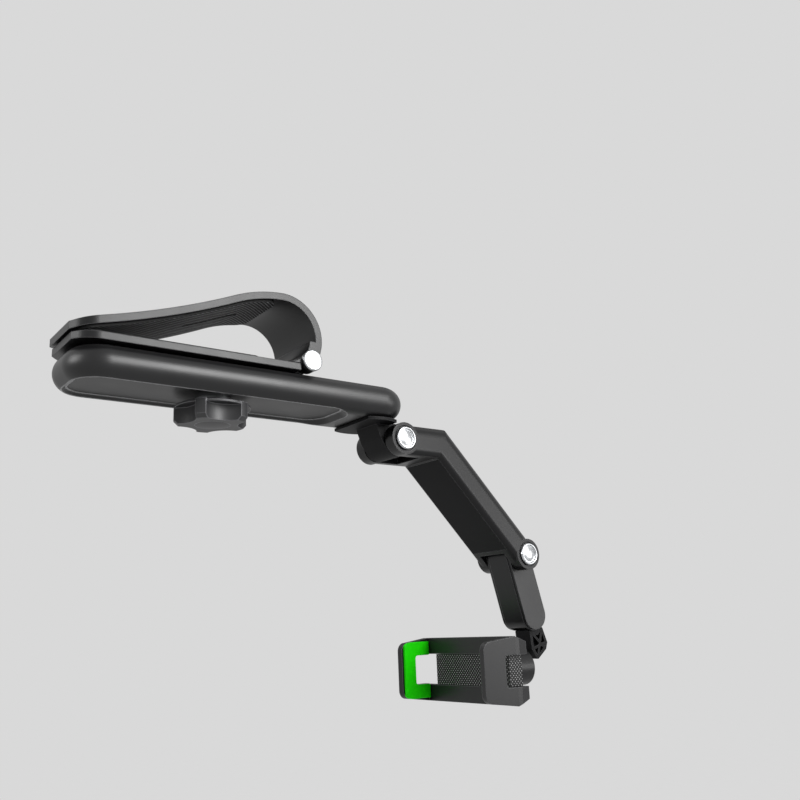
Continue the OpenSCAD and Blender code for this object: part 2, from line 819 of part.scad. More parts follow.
// Side view of a jaw: it tapers from the root at x 0 to a round-cornered tip
module clamp_jaw_side() {
    corner = 4;
    root = clamp_h / 2;
    tip = clamp_tip_h / 2;
    shoulder = tip + (root - tip) * corner / clamp_reach;
    polygon([[0, root], [corner - clamp_reach, shoulder], [corner - clamp_reach, -shoulder], [0, -root]]);
    translate([-clamp_reach, corner - shoulder]) square([corner + 0.1, 2 * (shoulder - corner)]);
    for (z = [corner - shoulder, shoulder - corner]) translate([corner - clamp_reach, z]) circle(corner);
}

// A jaw plate that leans in from its root, with y 0 on its outer face
module leaning_jaw(side_window, thickness, inset) {
    rotate([0, 0, -jaw_lean]) difference() {
        along_y(0, thickness) intersection() {
            clamp_jaw_side();
            translate([inset - clamp_reach, inset - clamp_h]) square([2 * clamp_reach, 2 * (clamp_h - inset)]);
        }
        along_y(-past, thickness + past) side_slot(side_window, window_half);
    }
}

// Side view of a jaw's window, which runs out of the root
module side_slot(depth, half) {
    r = 1.5;
    translate([-depth + r, -half]) square([40, 2 * half]);
    translate([-depth, -half + r]) square([40, 2 * (half - r)]);
    for (z = [r - half, half - r]) translate([-depth + r, z]) circle(r);
}

module at_root(y) {
    translate([rail_x, y, ball[1]]) children();
}

// Cross-section of one undercut guide groove, in X and Z from the housing's front face
module groove_side(grow) {
    translate([-past, -groove_neck - grow]) square([groove_neck_d + past + 0.6, 2 * (groove_neck + grow)]);
    translate([groove_neck_d - grow, -groove_head - grow]) square([groove_head_d + 2 * grow, 2 * (groove_head + grow)]);
}

module clamp_housing() {
    half = clamp_h / 2;
    slope = (half - rear_half) / (clamp_rear - rail_x);
    front_half = half - slope * (back_x - rail_x);
    color(satin_black) difference() {
        union() {
            at_root(clamp_near) leaning_jaw(near_window, clamp_jaw_t, 0);
            // End wall behind the near jaw
            at_root(0) along_y(clamp_near, clamp_inner) difference() {
                polygon([[-0.2, half], [clamp_rear - rail_x, rear_half], [clamp_rear - rail_x, -rear_half], [-0.2, -half]]);
                side_slot(near_window, window_half);
            }
            // Back plate with the guide grooves
            at_root(0) along_y(clamp_inner - 0.1, housing_end) translate([back_x - rail_x, 0])
                polygon([[0, front_half], [back_t, rear_half], [back_t, -rear_half], [0, -front_half]]);
            // Tongue that carries the textured pad
            translate([rail_x + mesh_t, clamp_inner + 3.6, ball[1] - tongue_z])
                cube([clamp_rear - rail_x - mesh_t, tongue_end - clamp_inner - 3.6, 2 * tongue_z]);
            // Boss and threaded spigot of the ball socket
            round_x(ball) {
                translate([0, clamp_rear - ball[0] - past]) square([9, nut_back - gap - clamp_rear + ball[0] + past]);
                translate([0, nut_back - 1]) square([spigot_r, spigot_end - nut_back + 1]);
            }
        }
        translate([ball[0], 0, ball[1]]) sphere(seat_r);
        // The end wall's outer face slants inwards towards the rear
        along_z(ball[1] - clamp_h, ball[1] + clamp_h)
            polygon([[rail_x + 2.5, clamp_near], [clamp_rear + 1, clamp_near + 1.4], [clamp_rear + 1, clamp_near - 1], [rail_x + 2.5, clamp_near - 1]]);
        at_root(0) for (s = [-1, 1])
            along_y(shoe_start - 0.4, groove_end) translate([back_x - rail_x, s * groove_z]) groove_side(0);
        // The neck of each groove opens through the near end so that the pad clears the wall
        translate([rail_x + mesh_t - 0.1, clamp_near - past, ball[1] - window_half])
            cube([clamp_rear - rail_x, clamp_inner + 3.7 - clamp_near + past, 2 * window_half]);
        translate([rail_x + mesh_t - 0.1, clamp_inner + 1.9, ball[1] - tongue_z - seat])
            cube([clamp_rear - rail_x, 1.8, 2 * (tongue_z + seat)]);
    }
}

module back_pad() {
    flap = 1.6;
    color(pad_black) difference() {
        translate([rail_x, clamp_inner + 2, ball[1] - tongue_z])
            cube([clamp_rear - rail_x, tongue_end - clamp_inner - 2, 2 * tongue_z]);
        translate([rail_x + mesh_t, clamp_inner + 2 + flap, ball[1] - tongue_z - past])
            cube([clamp_rear, tongue_end - clamp_inner, 2 * (tongue_z + past)]);
    }
}

module fixed_jaw_pad() {
    color(grip_green) at_root(clamp_near) rotate([0, 0, -jaw_lean]) translate([0, clamp_jaw_t, 0])
        grip_pad(near_window + 0.8, 2.4, window_half + 0.9);
}

// A C-shaped grip pad on a jaw's inner face
module grip_pad(window, inset, half) {
    along_y(0, grip_t) difference() {
        intersection() {
            clamp_jaw_side();
            translate([inset - clamp_reach, -clamp_h]) square([clamp_reach - inset - 0.6, 2 * clamp_h]);
            translate([-clamp_reach, inset - clamp_tip_h / 2 - 1.6]) square([clamp_reach, clamp_tip_h + 3.2 - 2 * inset]);
        }
        translate([-0.3, 0]) side_slot(window, half);
    }
}

module slider_jaw() {
    half = clamp_h / 2;
    near_end = clamp_inner + 0.4;
    outer = clamp_far + clamp_jaw_t;
    color(satin_black) difference() {
        union() {
            translate([rail_x, outer, ball[1]]) mirror([0, 1, 0]) leaning_jaw(far_window, clamp_jaw_t, 0);
            for (s = [-1, 1]) {
                // Rail
                translate([rail_x - 0.1, near_end, ball[1] + (s > 0 ? rail_gap : -half)])
                    cube([rail_t + 0.1, outer - near_end, half - rail_gap]);
                // Shoe that runs in the undercut groove
                at_root(0) along_y(shoe_start, shoe_start + shoe_l)
                    translate([back_x - rail_x, s * groove_z]) groove_side(-0.2);
            }
        }
    }
}

module slider_jaw_pad() {
    color(grip_green) translate([rail_x, clamp_far + clamp_jaw_t, ball[1]]) mirror([0, 1, 0])
        rotate([0, 0, -jaw_lean]) translate([0, clamp_jaw_t, 0]) grip_pad(far_window, 0.9, window_half);
}

// A helical wire that winds upwards from z 0
module helix(turn_r, wire_r, pitch, turns) {
    seg = 12;
    sides = 6;
    last = turns * seg;
    points = [for (i = [0:last], j = [0:sides - 1])
        [(turn_r + wire_r * cos(60 * j)) * cos(30 * i), (turn_r + wire_r * cos(60 * j)) * sin(30 * i),
         pitch * i / seg + wire_r * sin(60 * j)]];
    walls = [for (i = [0:last - 1], j = [0:sides - 1])
        [i * sides + j, (i + 1) * sides + j, (i + 1) * sides + (j + 1) % sides, i * sides + (j + 1) % sides]];
    ends = [[for (j = [0:sides - 1]) j], [for (j = [0:sides - 1]) last * sides + sides - 1 - j]];
    polyhedron(points, concat(walls, ends), convexity = 4);
}

// Compression spring in a guide groove, between the shoe and the groove's far end
module clamp_spring(s) {
    start = shoe_start + shoe_l + spring_wire / 2 + 0.02;
    turns = 12;
    coil_r = groove_head_d / 2 - spring_wire / 2 - 0.1;
    pitch = (groove_end - start - spring_wire / 2 - 0.02) / turns;
    color(steel) translate([back_x + groove_neck_d + groove_head_d / 2, start, ball[1] + s * groove_z])
        rotate([-90, 0, 0]) helix(coil_r, spring_wire / 2, pitch, turns);
}

lower_jaw();
lower_jaw_pad();
upper_jaw();
upper_jaw_pad();
clip_pin();
clip_cap_front();
clip_cap_rear();
clip_spring();
pivot_nut();
body_shell();
base_cover();
knob();
knob_cap();
knob_screw();
knob_washer();
turntable_knuckle();
turntable_screw();
turntable_washer();
elbow_pin(elbow_1);  // elbow_pin_upper
elbow_cap(elbow_1);  // elbow_cap_upper_front
mirror([0, 1, 0]) elbow_cap(elbow_1);  // elbow_cap_upper_rear
elbow_washers(elbow_1);  // elbow_washers_upper
arm_shell();
arm_cover();
elbow_pin(elbow_2);  // elbow_pin_lower
elbow_cap(elbow_2);  // elbow_cap_lower_front
mirror([0, 1, 0]) elbow_cap(elbow_2);  // elbow_cap_lower_rear
elbow_washers(elbow_2);  // elbow_washers_lower
link_core();
link_cover_front();
link_cover_rear();
wrist_pin();
ribbed_bracket();
ball_stud();
ball_liner();
ring_nut();
clamp_housing();
back_pad();
fixed_jaw_pad();
slider_jaw();
slider_jaw_pad();
clamp_spring(1);  // clamp_spring_upper
clamp_spring(-1);  // clamp_spring_lower
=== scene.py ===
# %% [markdown]
# # A visor phone holder, dressed for the studio
#
# The construction, the sizes and the joints are already packed as a CAD model.
# This lesson gives that model its plastics, its plating, its rubber and its light.
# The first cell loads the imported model. Every piece is in metres, and its mesh already sits in
# its place.

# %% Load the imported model
import json
import math
import bpy
import bmesh
from mathutils import Matrix, Vector
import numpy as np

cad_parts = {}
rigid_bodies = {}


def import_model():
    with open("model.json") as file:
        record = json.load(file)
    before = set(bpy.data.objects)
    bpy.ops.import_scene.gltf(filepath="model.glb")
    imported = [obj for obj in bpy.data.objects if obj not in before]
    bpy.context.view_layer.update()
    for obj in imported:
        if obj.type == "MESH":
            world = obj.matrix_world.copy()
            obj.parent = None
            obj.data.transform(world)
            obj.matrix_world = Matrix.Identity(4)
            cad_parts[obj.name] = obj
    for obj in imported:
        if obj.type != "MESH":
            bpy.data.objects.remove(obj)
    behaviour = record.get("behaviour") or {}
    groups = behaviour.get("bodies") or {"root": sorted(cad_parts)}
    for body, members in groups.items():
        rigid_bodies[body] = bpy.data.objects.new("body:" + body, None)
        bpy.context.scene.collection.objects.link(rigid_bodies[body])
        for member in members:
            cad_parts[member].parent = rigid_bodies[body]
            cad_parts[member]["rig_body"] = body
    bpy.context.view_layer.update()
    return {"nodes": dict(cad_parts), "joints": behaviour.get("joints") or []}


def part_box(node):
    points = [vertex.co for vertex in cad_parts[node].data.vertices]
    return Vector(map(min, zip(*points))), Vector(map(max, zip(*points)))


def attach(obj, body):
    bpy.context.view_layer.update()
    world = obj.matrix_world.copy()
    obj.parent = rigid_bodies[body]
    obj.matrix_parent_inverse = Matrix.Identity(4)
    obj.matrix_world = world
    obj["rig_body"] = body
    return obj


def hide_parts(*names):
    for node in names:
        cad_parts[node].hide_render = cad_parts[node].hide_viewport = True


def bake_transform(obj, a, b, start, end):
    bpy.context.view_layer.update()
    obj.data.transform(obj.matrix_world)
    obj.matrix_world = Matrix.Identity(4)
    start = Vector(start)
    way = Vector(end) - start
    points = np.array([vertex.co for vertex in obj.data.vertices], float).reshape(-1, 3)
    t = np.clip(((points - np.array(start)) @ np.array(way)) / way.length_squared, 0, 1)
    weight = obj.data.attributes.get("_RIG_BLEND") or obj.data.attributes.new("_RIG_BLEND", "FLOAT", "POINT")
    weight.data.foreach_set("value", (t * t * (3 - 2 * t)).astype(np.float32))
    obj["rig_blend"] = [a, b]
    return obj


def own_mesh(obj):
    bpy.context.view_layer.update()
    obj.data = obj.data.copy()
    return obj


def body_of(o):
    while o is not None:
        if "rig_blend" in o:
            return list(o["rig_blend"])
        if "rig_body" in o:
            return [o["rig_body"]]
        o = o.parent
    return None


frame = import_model()

# %% [markdown]
# ## The camera
# The photograph looks up at the holder from its lower left, so the underside of the body and its
# knob show.
# A camera could be moved by eye until the outlines agree. Here its lens and its place were worked
# out instead, from the vanishing points of the body's long edges and of the hinge pins.
# The camera's right and up are written as directions in the object's own frame.

# %% Camera
CAMERA_PLACE = (-0.1449, -0.3181, -0.1076)
CAMERA_RIGHT = (0.804, -0.5934, -0.0404)
CAMERA_UP = (-0.1173, -0.2248, 0.9673)
SENSOR_MM = 36.0
LENS_MM = 39.15
NEAREST_SEEN_M = 0.01


def aim(name, place, right, up):
    """Make a camera at a place, from its right and up directions."""
    right = Vector(right).normalized()
    back = right.cross(Vector(up)).normalized()
    up = back.cross(right)
    data = bpy.data.cameras.new(name)
    camera = bpy.data.objects.new(name, data)
    bpy.context.scene.collection.objects.link(camera)
    turn = Matrix((right, up, back)).transposed()
    camera.matrix_world = Matrix.Translation(place) @ turn.to_4x4()
    return camera


camera = aim("photo_camera", CAMERA_PLACE, CAMERA_RIGHT, CAMERA_UP)
camera.data.sensor_width = SENSOR_MM
camera.data.lens = LENS_MM
camera.data.clip_start = NEAREST_SEEN_M
bpy.context.scene.camera = camera
print("camera at", tuple(round(v, 4) for v in camera.location))

# %% [markdown]
# ## Colours and nodes
# A colour picked on a screen is an sRGB hex value, while a shader works in linear light, so one
# function turns one into the other.
# Every material below is a small tree of nodes. One helper adds a node, sets its values and
# links its inputs, so that a tree reads like a list of steps.

# %% Colours
def linear(code):
    """Turn an sRGB hex colour into opaque linear RGBA."""
    channels = [int(code[i:i + 2], 16) / 255 for i in (1, 3, 5)]
    return [c / 12.92 if c <= 0.04045 else ((c + 0.055) / 1.055) ** 2.4 for c in channels] + [1.0]


print("hex #808080 is linear", [round(c, 3) for c in linear("#808080")])

# %% Nodes
MM = 0.001

# Settings that several nodes share. A Mix node's two colours are its inputs 6 and 7, and the
# mixed colour is its output 2.
MIX_COLOURS = {"data_type": "RGBA"}
EASED = {"interpolation_type": "SMOOTHSTEP"}
BEVEL_QUALITY = {"samples": 6}


def add(tree, kind, settings=None, **inputs):
    """Add a node, set its own settings, and set or link its inputs.

    An input is named as in the editor, with _ for a space, or by i and its number.
    """
    node = tree.nodes.new("ShaderNode" + kind)
    for key, value in (settings or {}).items():
        setattr(node, key, value)
    for key, value in inputs.items():
        numbered = key[0] == "i" and key[1:].isdigit()
        socket = node.inputs[int(key[1:]) if numbered else key.replace("_", " ")]
        if isinstance(value, bpy.types.NodeSocket):
            tree.links.new(value, socket)
        else:
            socket.default_value = value
    return node


def new_material(name):
    """Make an empty node material and return it with its tree."""
    material = bpy.data.materials.new(name)
    material.use_nodes = True
    material.node_tree.nodes.clear()
    return material, material.node_tree


def finish_with(tree, shader):
    """Send a shader to the material's output."""
    add(tree, "OutputMaterial", Surface=shader.outputs[0])


print("helpers are ready, and one millimetre is", MM, "metres")

# %% [markdown]
# ## Black moulded plastic
# The clip, the body, the arm and the clamp are injection-moulded ABS from a lightly blasted mould.
# The eye sees a near-black grey with a broad soft highlight and edges that are never quite sharp.
# A picture of plastic could give the grain, but noise needs no picture and stays fine close up:
# a fine noise gives the blasted grain, and a slow one makes the colour and the sheen uneven.
# A Bevel node rounds the light on the edges. Where the rounded normal and the true one disagree
# there is an edge, and along it a paler colour is painted on as a highlight.
# Faces that look up come from the coarser half of the mould, so they are more matt and mirror
# no lamp.

# %% Moulded plastic
SHEEN_PATCH_MM = 14
SHEEN_SWING = 0.05
# A face looks up when the Z of its normal is between these two, and then it is rougher
UPWARD = (0.6, 0.9)
UPWARD_ROUGHER = 0.38
# The rounded and the true normal agree less and less between these two, and the painted
# highlight along the edge grows to its most
EDGE = (0.985, 0.8)
MOST_EDGE_HIGHLIGHT = 0.7
GRAIN_STRENGTH = 0.35
IOR_ABS = 1.5


def moulded(name, base, mottle, roughness, grain_mm, depth_mm, edge_mm, gloss, edge_highlight):
    """A moulded plastic: two close colours, a blasted grain and soft edges with a painted highlight."""
    material, tree = new_material(name)
    spot = add(tree, "TexCoord")
    where = spot.outputs["Object"]
    slow = add(tree, "TexNoise", Vector=where, Scale=1 / (SHEEN_PATCH_MM * MM),
               Detail=3.0, Roughness=0.6).outputs["Fac"]
    grain = add(tree, "TexNoise", Vector=where, Scale=1 / (grain_mm * MM),
                Detail=2.0, Roughness=0.5).outputs["Fac"]
    colour = add(tree, "Mix", MIX_COLOURS, Factor=slow, i6=linear(base), i7=linear(mottle))

    uneven = add(tree, "MapRange", Value=slow,
                 To_Min=roughness - SHEEN_SWING, To_Max=roughness + SHEEN_SWING)
    upward = add(tree, "SeparateXYZ", Vector=spot.outputs["Normal"]).outputs["Z"]
    coarse = add(tree, "MapRange", EASED, Value=upward,
                 From_Min=UPWARD[0], From_Max=UPWARD[1], To_Max=UPWARD_ROUGHER)
    rough = add(tree, "Math", i0=uneven.outputs[0], i1=coarse.outputs[0])

    soft = add(tree, "Bevel", BEVEL_QUALITY, Radius=edge_mm * MM).outputs[0]
    true = add(tree, "NewGeometry").outputs["Normal"]
    agree = add(tree, "VectorMath", {"operation": "DOT_PRODUCT"}, i0=soft, i1=true)
    # Along each edge a paler colour is painted on as a highlight
    edge = add(tree, "MapRange", Value=agree.outputs["Value"],
               From_Min=EDGE[0], From_Max=EDGE[1], To_Max=MOST_EDGE_HIGHLIGHT)
    colour = add(tree, "Mix", MIX_COLOURS, Factor=edge.outputs[0],
                 i6=colour.outputs[2], i7=linear(edge_highlight))
    bump = add(tree, "Bump", Strength=GRAIN_STRENGTH, Distance=depth_mm * MM,
               Height=grain, Normal=soft)
    shader = add(tree, "BsdfPrincipled", Base_Color=colour.outputs[2], Roughness=rough.outputs[0],
                 Normal=bump.outputs[0], IOR=IOR_ABS, Specular_IOR_Level=gloss)
    finish_with(tree, shader)
    return material


print("a face that looks up is rougher by", UPWARD_ROUGHER)

# %% [markdown]
# ## Six plastics from one recipe
# On the real holder the mouldings differ a little in tone and sheen, as pieces from different
# moulds do. One function keeps them alike, and each call gives only what sets a moulding apart.
# The clip, the link and the clamp are satin. The body has the widest rounded edge and the palest
# painted highlight along it. The knob is a lighter grey with more gloss, and the cover in the body's
# underside lies between. The arm is the darkest, and the turntable, the arm's cover and the ribbed
# bracket are almost dull.

# %% The six plastics
# The last colour of each plastic is the painted highlight along its edges
satin_abs = moulded("satin_black_abs_moulded", "#0e0e0f", "#141415", 0.36, grain_mm=0.5,
                    depth_mm=0.015, edge_mm=0.5, gloss=0.34, edge_highlight="#6e6e70")
shell_abs = moulded("satin_black_abs_shell", "#0e0e0f", "#141415", 0.38, grain_mm=0.5,
                    depth_mm=0.015, edge_mm=1.1, gloss=0.46, edge_highlight="#d8d8da")
knob_abs = moulded("dark_abs_knob", "#1a1a1c", "#202022", 0.5, grain_mm=0.6,
                   depth_mm=0.03, edge_mm=0.6, gloss=0.75, edge_highlight="#8e8e92")
plain_abs = moulded("dark_abs_moulded_matt", "#161617", "#1c1c1d", 0.42, grain_mm=0.6,
                    depth_mm=0.03, edge_mm=0.4, gloss=0.36, edge_highlight="#8c8c90")
arm_abs = moulded("dark_abs_arm_shell", "#0d0d0e", "#121213", 0.34, grain_mm=0.5,
                  depth_mm=0.02, edge_mm=0.5, gloss=0.27, edge_highlight="#606062")
dull_abs = moulded("dark_abs_moulded_dull", "#0f0f10", "#141415", 0.55, grain_mm=0.6,
                   depth_mm=0.03, edge_mm=0.35, gloss=0.12, edge_highlight="#5a5a5c")
print("plastics:", [m.name for m in (satin_abs, shell_abs, knob_abs, plain_abs, arm_abs, dull_abs)])

# %% [markdown]
# ## Chrome and steel
# The pin caps are chrome-plated plastic. Chromium mirrors a little over half of the light, so a
# cap is grey where it faces the card and white where it faces a lamp.
# The pins, screws and springs are zinc-plated steel, duller and a little uneven.
# A perfect mirror would look like glass, so a noise of the size of polishing marks moves the
# roughness and the normal a little.

# %% Metals
MARKS_DEPTH_MM = 0.01
# The roughness runs from this share of its value to that one
MARKS_SWING = (0.6, 1.4)


def plated(name, base, roughness, wear_mm, edge_mm, marks_strength):
    """A plated metal with faint polishing marks, and soft edges where its mesh has sharp ones."""
    material, tree = new_material(name)
    where = add(tree, "TexCoord").outputs["Object"]
    marks = add(tree, "TexNoise", Vector=where, Scale=1 / (wear_mm * MM),
                Detail=4.0, Roughness=0.7).outputs["Fac"]
    rough = add(tree, "MapRange", Value=marks,
                To_Min=roughness * MARKS_SWING[0], To_Max=roughness * MARKS_SWING[1])
    bump = add(tree, "Bump", Strength=marks_strength, Distance=MARKS_DEPTH_MM * MM, Height=marks)
    if edge_mm:
        soft = add(tree, "Bevel", BEVEL_QUALITY, Radius=edge_mm * MM).outputs[0]
        tree.links.new(soft, bump.inputs["Normal"])
    shader = add(tree, "BsdfPrincipled", Base_Color=linear(base), Metallic=1.0,
                 Roughness=rough.outputs[0], Normal=bump.outputs[0])
    finish_with(tree, shader)
    return material


# The turned caps have round edges of their own, so chrome needs no softened ones
chrome = plated("chrome_plated_abs", "#c6c8ca", 0.24, wear_mm=2.5, edge_mm=0, marks_strength=0.02)
zinc = plated("zinc_plated_steel", "#a9abad", 0.32, wear_mm=0.8, edge_mm=0.15, marks_strength=0.12)
print("metals:", chrome.name, zinc.name)

# %% [markdown]
# ## Silicone rubber
# The pads are moulded silicone, matt and a little soft to look at.
# The black ones carry a diagonal lattice of tiny raised studs, which catch the light as rows of
# fine dots. Thousands of real studs would be too heavy a mesh, so bump and colour draw them.
# Two cosine waves that cross at right angles make the rows, and a dot stands wherever both waves
# crest. A stud is only a pixel or two wide, so the glint on its top is a painted highlight, paler than
# rubber is.
# The smooth rubbers use the same tree with a pattern too faint to see.

# %% Rubber with moulded studs
# A stud rises where the lower of the two waves climbs from the first value to the second
STUD = (0.15, 0.8)
# Studs on a flat pad fade in as the Z of the normal grows from the first value to the second
FLAT = (0.35, 0.55)
RUBBER_GRAIN_MM = 0.8
RUBBER_GRAIN_DEPTH_MM = 0.02
RUBBER_GRAIN_STRENGTH = 0.1
RUBBER_SWING = 0.06
RUBBER_EDGE_MM = 0.3
IOR_SILICONE = 1.41


def stud_lattice(tree, spot, pitch_mm, upright):
    """Studs in diagonal rows, 1 on a stud and 0 between, on upright or on flat faces."""
    place = add(tree, "SeparateXYZ", Vector=spot.outputs["Object"]).outputs
    if upright:
        along = add(tree, "Math", {"operation": "ADD"}, i0=place["X"], i1=place["Y"]).outputs[0]
        across = place["Z"]
    else:
        along, across = place["X"], place["Y"]
    radians_per_metre = 2 * math.pi / (pitch_mm * MM * math.sqrt(2))
    crests = []
    for operation in ("ADD", "SUBTRACT"):
        diagonal = add(tree, "Math", {"operation": operation}, i0=along, i1=across)
        phase = add(tree, "Math", {"operation": "MULTIPLY"},
                    i0=diagonal.outputs[0], i1=radians_per_metre)
        crests.append(add(tree, "Math", {"operation": "COSINE"}, i0=phase.outputs[0]).outputs[0])
    both = add(tree, "Math", {"operation": "MINIMUM"}, i0=crests[0], i1=crests[1])
    studs = add(tree, "MapRange", EASED, Value=both.outputs[0],
                From_Min=STUD[0], From_Max=STUD[1])
    if upright:
        return studs.outputs[0]
    lean = add(tree, "SeparateXYZ", Vector=spot.outputs["Normal"]).outputs["Z"]
    lean = add(tree, "Math", {"operation": "ABSOLUTE"}, i0=lean)
    flat = add(tree, "MapRange", Value=lean.outputs[0], From_Min=FLAT[0], From_Max=FLAT[1])
    studs = add(tree, "Math", {"operation": "MULTIPLY"}, i0=studs.outputs[0], i1=flat.outputs[0])
    return studs.outputs[0]


def rubber(name, base, stud_highlight, roughness, pitch_mm, height_mm, upright, gloss):
    """Moulded rubber with studs, a painted highlight on them in a second colour, and softened edges."""
    material, tree = new_material(name)
    spot = add(tree, "TexCoord")
    studs = stud_lattice(tree, spot, pitch_mm, upright)
    grain = add(tree, "TexNoise", Vector=spot.outputs["Object"],
                Scale=1 / (RUBBER_GRAIN_MM * MM), Detail=3.0).outputs["Fac"]
    # The second colour is a painted highlight on the stud tops
    colour = add(tree, "Mix", MIX_COLOURS, Factor=studs, i6=linear(base), i7=linear(stud_highlight))
    rough = add(tree, "MapRange", Value=grain,
                To_Min=roughness - RUBBER_SWING, To_Max=roughness + RUBBER_SWING)
    soft = add(tree, "Bevel", BEVEL_QUALITY, Radius=RUBBER_EDGE_MM * MM)
    fine = add(tree, "Bump", Strength=RUBBER_GRAIN_STRENGTH, Distance=RUBBER_GRAIN_DEPTH_MM * MM,
               Height=grain, Normal=soft.outputs[0])
    raised = add(tree, "Bump", Strength=1.0, Distance=height_mm * MM,
                 Height=studs, Normal=fine.outputs[0])
    shader = add(tree, "BsdfPrincipled", Base_Color=colour.outputs[2], Roughness=rough.outputs[0],
                 Normal=raised.outputs[0], IOR=IOR_SILICONE, Specular_IOR_Level=gloss)
    finish_with(tree, shader)
    return material


# The second colour of each rubber is a painted highlight on its studs, too faint to see on the smooth ones
mesh_rubber = rubber("black_silicone_studded", "#080808", "#a2a2a2", 0.4,
                     pitch_mm=1.25, height_mm=0.2, upright=True, gloss=0.3)
clip_rubber = rubber("black_silicone_fine_studs", "#181818", "#b8b8ba", 0.65,
                     pitch_mm=1.35, height_mm=0.15, upright=False, gloss=0.2)
plain_rubber = rubber("black_silicone_smooth", "#171717", "#1b1b1b", 0.6,
                      pitch_mm=3.0, height_mm=0.01, upright=False, gloss=0.5)
green_rubber = rubber("green_silicone_smooth", "#16be00", "#1ac400", 0.45,
                      pitch_mm=4.0, height_mm=0.01, upright=True, gloss=0.12)
print("rubbers:", mesh_rubber.name, clip_rubber.name, plain_rubber.name, green_rubber.name)

# %% [markdown]
# ## Turned pin caps
# Every hinge pin ends in a chrome-plated cap. The arm's caps have a rounded rim round a low dome,
# and the clip's are almost flat.
# A cap could be a cylinder with a bevel, but the dished step inside the rim asks for a real
# profile. So half a profile is spun round its axis, as a lathe turns a bar, in more steps than
# the CAD mesh has, and the rim stays round in a close view.
# Each cap takes the place of its CAD node and rides on the same body.

# %% Put a new piece in the scene
def put_in_scene(name, work, material):
    """Write a bmesh to a new object that wears one material."""
    bmesh.ops.recalc_face_normals(work, faces=work.faces)
    data = bpy.data.meshes.new(name)
    work.to_mesh(data)
    work.free()
    data.materials.append(material)
    piece = bpy.data.objects.new(name, data)
    bpy.context.scene.collection.objects.link(piece)
    return piece


def stands_for(piece, node):
    """Let a piece replace a CAD node, on the same body."""
    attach(piece, body_of(frame["nodes"][node])[0])
    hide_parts(node)


# %% Turned pin caps
CAP_STEPS = 72
POLE_WELD_M = 1e-7
# Half profiles as radius and height in millimetres, from the axis out and back
ELBOW_PROFILE = [(0, 0), (5.05, 0), (5.2, 0.15), (5.22, 1.2), (5.12, 1.6), (4.9, 1.88),
                 (4.6, 2.03), (4.3, 2.0), (4.12, 1.8), (4.02, 1.5), (3.95, 1.33), (3.85, 1.32),
                 (3.4, 1.47), (2.8, 1.66), (2.0, 1.86), (1.0, 2.01), (0, 2.06)]
CLIP_PROFILE = [(0, 0), (4.4, 0), (4.55, 0.15), (4.57, 1.3), (4.45, 1.75), (4.15, 2.0),
                (3.8, 2.08), (3.0, 2.12), (2.0, 2.15), (1.0, 2.16), (0, 2.17)]
CAP_PROFILES = {
    "elbow_cap_upper_front": ELBOW_PROFILE,
    "elbow_cap_upper_rear": ELBOW_PROFILE,
    "elbow_cap_lower_front": ELBOW_PROFILE,
    "elbow_cap_lower_rear": ELBOW_PROFILE,
    "clip_cap_front": CLIP_PROFILE,
    "clip_cap_rear": CLIP_PROFILE,
}


def turned_cap(node, profile_mm):
    """Spin a half profile and set it on a cap's CAD node, with its dome outwards."""
    low, high = (Vector(corner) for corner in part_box(node))
    centre = (low + high) / 2
    front = centre.y < 0
    work = bmesh.new()
    points = [work.verts.new((radius * MM, 0, height * MM)) for radius, height in profile_mm]
    edges = [work.edges.new(pair) for pair in zip(points, points[1:])]
    bmesh.ops.spin(work, geom=points + edges, cent=(0, 0, 0), axis=(0, 0, 1),
                   angle=2 * math.pi, steps=CAP_STEPS, use_merge=True)
    bmesh.ops.remove_doubles(work, verts=work.verts, dist=POLE_WELD_M)
    turn = Matrix.Rotation(math.radians(90 if front else -90), 3, "X")
    bmesh.ops.rotate(work, verts=work.verts, cent=(0, 0, 0), matrix=turn)
    top = max(height for _, height in profile_mm) * MM
    seat_y = low.y + top if front else high.y - top
    bmesh.ops.translate(work, verts=work.verts, vec=(centre.x, seat_y, centre.z))
    for face in work.faces:
        face.smooth = True
    piece = put_in_scene("turned_" + node, work, chrome)
    stands_for(piece, node)


for node, profile in CAP_PROFILES.items():
    turned_cap(node, profile)

# %% [markdown]
# ## Grip pads with soft edges
# The two C-shaped pads are thick silicone, and their edges are rounded by the mould.
# A Bevel node would round only the light on them, and on these thick bright pads the outline
# shows too. So a copy of the CAD mesh is merged, its flat triangles are joined into whole faces,
# and its sharp edges are bevelled.

# %% Copy a CAD node's mesh
MERGE_M = 1e-6


def merged_mesh(node):
    """Copy a CAD node's mesh to a bmesh and join its loose triangles."""
    work = bmesh.new()
    work.from_mesh(frame["nodes"][node].data)
    bmesh.ops.remove_doubles(work, verts=work.verts, dist=MERGE_M)
    return work


print("corners nearer than", MERGE_M, "metres become one")

# %% Grip pads with soft edges
GRIP_EDGE_MM = 0.45
GRIP_EDGE_SEGMENTS = 4
FLAT_DEGREES = 1
SHARP_DEGREES = 35
# Faces below this area belong to a rounded edge and are shaded smooth
SMOOTH_BELOW_MM2 = 2


def soft_edged(node, name):
    """Copy a grip pad's CAD node and round the edges that are sharp."""
    work = merged_mesh(node)
    bmesh.ops.dissolve_limit(work, angle_limit=math.radians(FLAT_DEGREES),
                             verts=work.verts, edges=work.edges)
    sharp = [edge for edge in work.edges
             if edge.is_manifold and edge.calc_face_angle() > math.radians(SHARP_DEGREES)]
    bmesh.ops.bevel(work, geom=sharp, offset=GRIP_EDGE_MM * MM, offset_type="OFFSET",
                    segments=GRIP_EDGE_SEGMENTS, profile=0.5, affect="EDGES",
                    clamp_overlap=True, material=-1)
    bmesh.ops.triangulate(work, faces=[face for face in work.faces if len(face.verts) > 4])
    for face in work.faces:
        face.smooth = face.calc_area() < SMOOTH_BELOW_MM2 * MM * MM
    piece = put_in_scene(name, work, green_rubber)
    stands_for(piece, node)
    print(name, "has", len(piece.data.polygons), "faces")


soft_edged("slider_jaw_pad", "grip_pad_far")
soft_edged("fixed_jaw_pad", "grip_pad_near")
